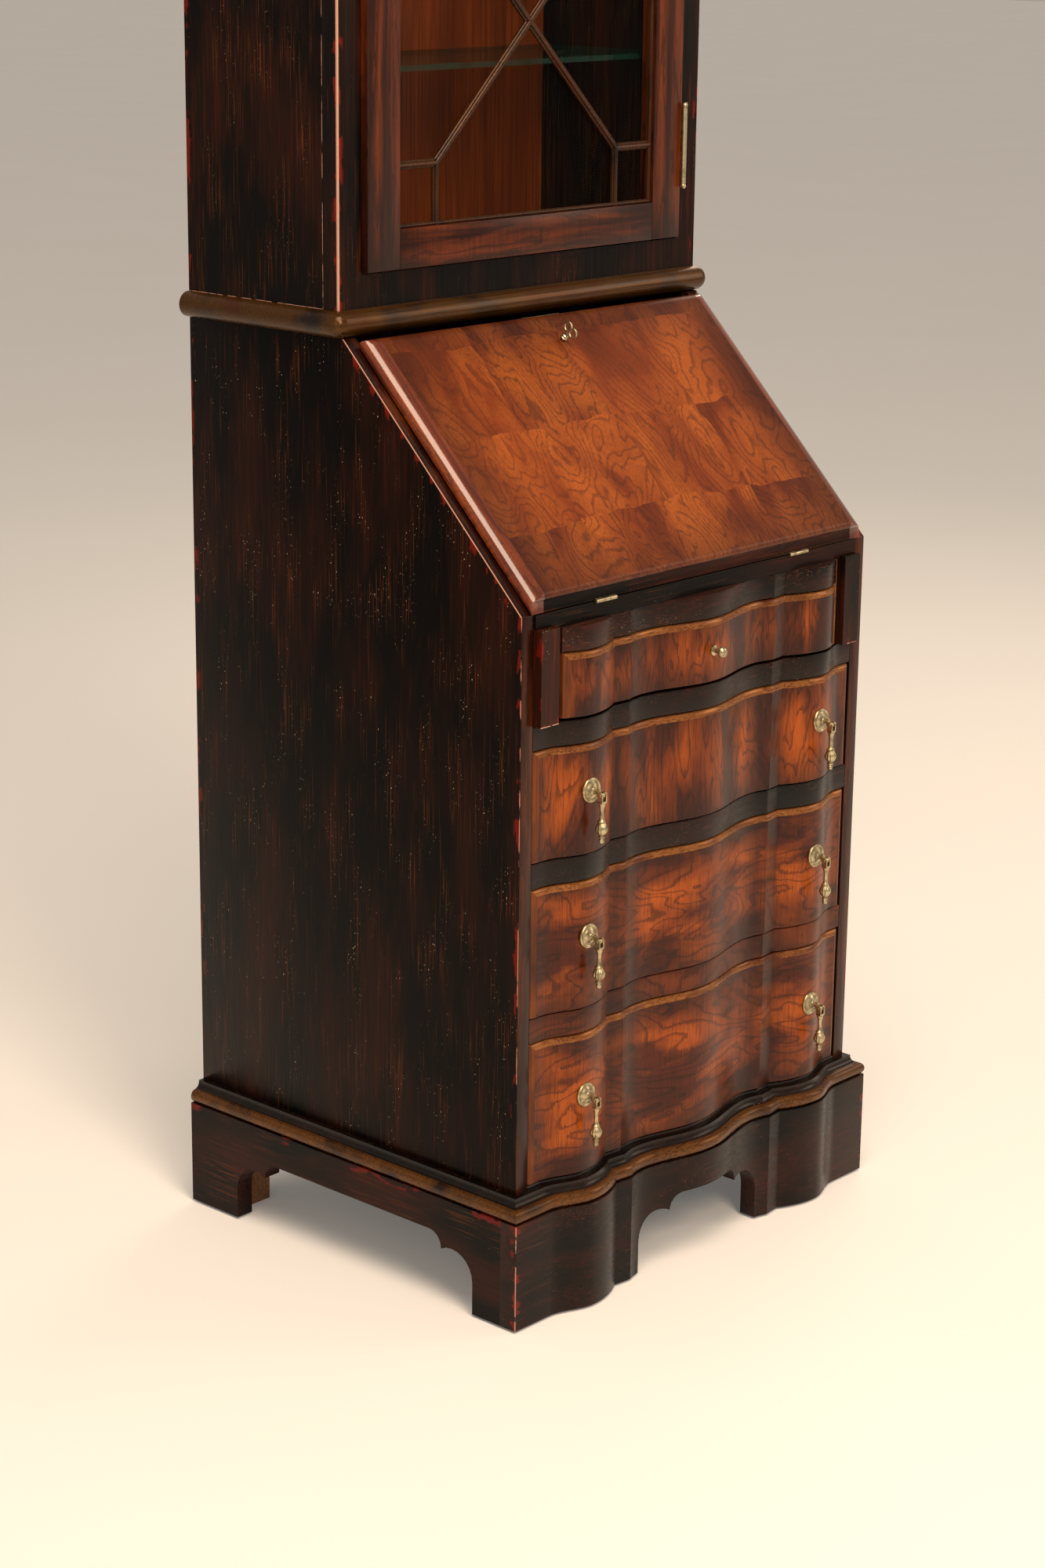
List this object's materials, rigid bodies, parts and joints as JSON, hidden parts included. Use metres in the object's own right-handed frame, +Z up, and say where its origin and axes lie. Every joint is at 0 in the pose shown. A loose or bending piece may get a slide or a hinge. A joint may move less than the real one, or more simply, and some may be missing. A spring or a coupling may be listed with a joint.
{
  "type": "secretary desk",
  "caption": "Narrow slant-front secretary desk with a serpentine drawer front on a bracket plinth, under a glazed single-door bookcase; drawers, lopers, lid and door move.",
  "frame": {"origin": "middle of the part's outline on the floor, under the glides", "axes": "+Z up; the desk faces -Y; +X to the right hand of its back, so the door is hinged at +X"},
  "size_m": [0.6554, 0.5238, 1.9591],
  "materials": {
    "ebonised": "satin black-brown with rubbed streaks",
    "rubbed": "dark lacquer rubbed through to brown",
    "veneer": "polished figured veneer",
    "inner_wood": "plain matt wood",
    "brass": "aged satin",
    "glass": "clear",
    "glide": "matt"
  },
  "bodies": {
    "case": {"plinth_front": "ebonised", "plinth_side_left": "ebonised", "plinth_side_right": "ebonised", "plinth_back": "inner_wood", "plinth_moulding": "rubbed", "corner_blocks": "inner_wood", "glides": "glide", "side_left": "ebonised", "side_right": "ebonised", "case_bottom": "ebonised", "case_back": "inner_wood", "waist_board": "rubbed", "writing_bed": "ebonised", "apron_rail": "ebonised", "rail_upper": "ebonised", "rail_middle": "ebonised", "rail_lower": "veneer", "drawer_guides": "inner_wood", "bed_hinge_leaves": "brass", "gallery": "inner_wood", "bookcase_side_left": "ebonised", "bookcase_side_right": "ebonised", "bookcase_boards": "rubbed", "bookcase_back": "veneer", "face_frame": "ebonised", "cornice": "rubbed", "glass_shelves": "glass", "shelf_pins": "brass", "frame_hinge_leaves": "brass"},
    "loper_left": {"loper_left": "rubbed"},
    "loper_right": {"loper_right": "rubbed"},
    "gallery_drawer": {"gallery_drawer": "inner_wood"},
    "drawer_1": {"drawer_1_front": "veneer", "drawer_1_box": "inner_wood", "drawer_1_knob": "brass"},
    "drawer_2": {"drawer_2_front": "veneer", "drawer_2_box": "inner_wood", "drawer_2_rosettes": "brass"},
    "drop_2_left": {"drop_2_left": "brass"},
    "drop_2_right": {"drop_2_right": "brass"},
    "drawer_3": {"drawer_3_front": "veneer", "drawer_3_box": "inner_wood", "drawer_3_rosettes": "brass"},
    "drop_3_left": {"drop_3_left": "brass"},
    "drop_3_right": {"drop_3_right": "brass"},
    "drawer_4": {"drawer_4_front": "veneer", "drawer_4_box": "inner_wood", "drawer_4_rosettes": "brass"},
    "drop_4_left": {"drop_4_left": "brass"},
    "drop_4_right": {"drop_4_right": "brass"},
    "lid": {"lid_panel": "veneer", "lid_hinge_leaves": "brass", "lid_lock": "brass"},
    "lock_bolt": {"lock_bolt": "brass"},
    "key": {"key": "brass"},
    "door": {"door_frame": "rubbed", "door_glass": "glass", "glazing_bars": "rubbed", "door_hinge_leaves": "brass", "door_knob": "brass"}
  },
  "joints": [
    {"name": "loper_left_slide", "type": "slide", "parent": "case", "child": "loper_left", "axis": [0, -1, 0], "range_m": [0, 0.29]},
    {"name": "loper_right_slide", "type": "slide", "parent": "case", "child": "loper_right", "axis": [0, -1, 0], "range_m": [0, 0.29]},
    {"name": "drawer_1_slide", "type": "slide", "parent": "case", "child": "drawer_1", "axis": [0, -1, 0], "range_m": [0, 0.34]},
    {"name": "drawer_2_slide", "type": "slide", "parent": "case", "child": "drawer_2", "axis": [0, -1, 0], "range_m": [0, 0.34]},
    {"name": "drop_2_left_hinge", "type": "hinge", "parent": "drawer_2", "child": "drop_2_left", "pos_m": [-0.195, -0.2551, 0.5725], "axis": [-1, 0, 0], "range_deg": [0, 75]},
    {"name": "drop_2_right_hinge", "type": "hinge", "parent": "drawer_2", "child": "drop_2_right", "pos_m": [0.195, -0.2551, 0.5725], "axis": [-1, 0, 0], "range_deg": [0, 75]},
    {"name": "drawer_3_slide", "type": "slide", "parent": "case", "child": "drawer_3", "axis": [0, -1, 0], "range_m": [0, 0.34]},
    {"name": "drop_3_left_hinge", "type": "hinge", "parent": "drawer_3", "child": "drop_3_left", "pos_m": [-0.195, -0.2551, 0.41425], "axis": [-1, 0, 0], "range_deg": [0, 75]},
    {"name": "drop_3_right_hinge", "type": "hinge", "parent": "drawer_3", "child": "drop_3_right", "pos_m": [0.195, -0.2551, 0.41425], "axis": [-1, 0, 0], "range_deg": [0, 75]},
    {"name": "drawer_4_slide", "type": "slide", "parent": "case", "child": "drawer_4", "axis": [0, -1, 0], "range_m": [0, 0.34]},
    {"name": "drop_4_left_hinge", "type": "hinge", "parent": "drawer_4", "child": "drop_4_left", "pos_m": [-0.195, -0.2551, 0.237], "axis": [-1, 0, 0], "range_deg": [0, 75]},
    {"name": "drop_4_right_hinge", "type": "hinge", "parent": "drawer_4", "child": "drop_4_right", "pos_m": [0.195, -0.2551, 0.237], "axis": [-1, 0, 0], "range_deg": [0, 75]},
    {"name": "gallery_drawer_slide", "type": "slide", "parent": "case", "child": "gallery_drawer", "axis": [0, -1, 0], "range_m": [0, 0.11]},
    {"name": "lid_hinge", "type": "hinge", "parent": "case", "child": "lid", "pos_m": [0, -0.2256, 0.7684], "axis": [1, 0, 0], "range_deg": [0, 135]},
    {"name": "key_turn", "type": "hinge", "parent": "lid", "child": "key", "pos_m": [0, -0.00852, 0.98548], "axis": [0, -0.7071, 0.7071], "range_deg": [0, 90]},
    {"name": "bolt_slide", "type": "slide", "parent": "lid", "child": "lock_bolt", "axis": [0, 0.7071, 0.7071], "range_m": [0, 0.008]},
    {"name": "door_hinge", "type": "hinge", "parent": "case", "child": "door", "pos_m": [0.2514, 0.0241, 1.47], "axis": [0, 0, 1], "range_deg": [0, 110]}
  ],
  "couplings": [
    {"joint": "bolt_slide", "follows": "key_turn", "m_per_rad": 0.0044563}
  ]
}
